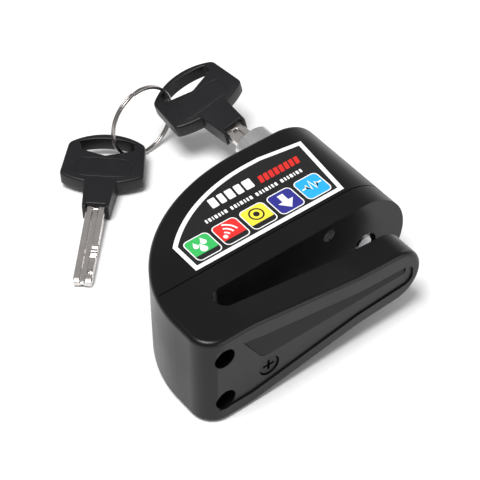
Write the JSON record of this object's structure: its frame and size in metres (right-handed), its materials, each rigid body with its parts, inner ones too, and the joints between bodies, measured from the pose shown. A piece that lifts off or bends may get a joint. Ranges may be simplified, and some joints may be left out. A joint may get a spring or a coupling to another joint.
{
  "type": "disc brake lock",
  "caption": "U-shaped alarm disc lock with a push cylinder and pin across its slot, a turning key, a spare key and a split ring.",
  "frame": {"origin": "on the flat back face, in the mid-plane of the disc slot, in the middle of the heel", "axes": "+X along the slot to its open mouth, +Y towards the key cylinder, +Z from the back face up to the label"},
  "size_m": [0.0838, 0.1138, 0.0327],
  "materials": {
    "black_casting": "satin black powder coat",
    "black_plastic": "fine matte",
    "key_plastic": "semi-gloss",
    "label_print": "printed film",
    "satin_steel": "satin",
    "dark_steel": "oiled",
    "nickel": "nickel plated",
    "chrome_satin": "satin chrome",
    "brass": "turned",
    "bronze": "sintered",
    "rubber": "matte",
    "board": "solder mask",
    "chip": "moulded",
    "copper": "enamelled wire",
    "cell": "nickel plated"
  },
  "bodies": {
    "lock_body": {"jaw_frame": "black_casting", "alarm_housing": "black_casting", "back_cover": "black_plastic", "cover_screws": "dark_steel", "housing_screws": "dark_steel", "strip_dowels": "satin_steel", "jaw_core": "dark_steel", "jaw_screw": "dark_steel", "sound_meshes": "black_plastic", "label_plate": "label_print", "barrel_sleeve": "bronze", "barrel_wiper": "rubber", "stop_pin": "dark_steel", "pin_bush": "satin_steel", "strike_bush": "satin_steel", "return_spring": "satin_steel", "battery_cradle": "black_plastic", "button_cells": "cell", "link_contact": "nickel", "pole_contacts": "nickel", "alarm_board": "board", "control_chip": "chip", "sounder_coil": "copper", "capacitors": "cell", "shock_sensor": "cell", "buzzer_case": "black_plastic", "buzzer_disc": "brass", "arming_switch": "chip"},
    "cylinder": {"lock_barrel": "chrome_satin", "lock_pin": "satin_steel", "keeper_pin": "dark_steel"},
    "plug": {"key_plug": "brass", "tumbler_pins": "brass", "plug_cam": "brass"},
    "latch": {"latch_bolt": "satin_steel"},
    "key_1": {"key_1_bow": "key_plastic", "key_1_blade": "nickel"},
    "ring": {"key_ring": "nickel"},
    "key_2": {"key_2_bow": "key_plastic", "key_2_blade": "nickel"},
    "plunger": {"switch_plunger": "black_plastic"}
  },
  "joints": [
    {"name": "cylinder_slide", "type": "slide", "parent": "lock_body", "child": "cylinder", "axis": [0, -1, 0], "range_m": [0, 0.0115], "stiffness_N_per_m": 400, "springref_m": -0.008, "deforming": ["return_spring"]},
    {"name": "plug_turn", "type": "hinge", "parent": "cylinder", "child": "plug", "pos_m": [0.0628, 0, 0.01625], "axis": [0, 1, 0], "range_deg": [0, 90]},
    {"name": "latch_draw", "type": "slide", "parent": "cylinder", "child": "latch", "axis": [-1, 0, 0], "range_m": [0, 0.0012]},
    {"name": "key_withdraw", "type": "slide", "parent": "plug", "child": "key_1", "axis": [0, 1, 0], "range_m": [0, 0.03]},
    {"name": "ring_swing", "type": "hinge", "parent": "key_1", "child": "ring", "pos_m": [0.05668, 0.0911, 0.01478], "axis": [-0.225, 0, 0.9744], "range_deg": [0, 8]},
    {"name": "key_2_round_ring", "type": "hinge", "parent": "ring", "child": "key_2", "pos_m": [0.04535, 0.08984, 0.01237], "axis": [-0.0868, 0.9904, -0.108], "range_deg": [0, 35]},
    {"name": "plunger_slide", "type": "slide", "parent": "lock_body", "child": "plunger", "axis": [-1, 0, 0], "range_m": [0, 0.0023]}
  ],
  "couplings": [
    {"joint": "latch_draw", "follows": "plug_turn", "m_per_rad": 0.00076394},
    {"joint": "plunger_slide", "follows": "cylinder_slide", "ratio": 0.2}
  ]
}
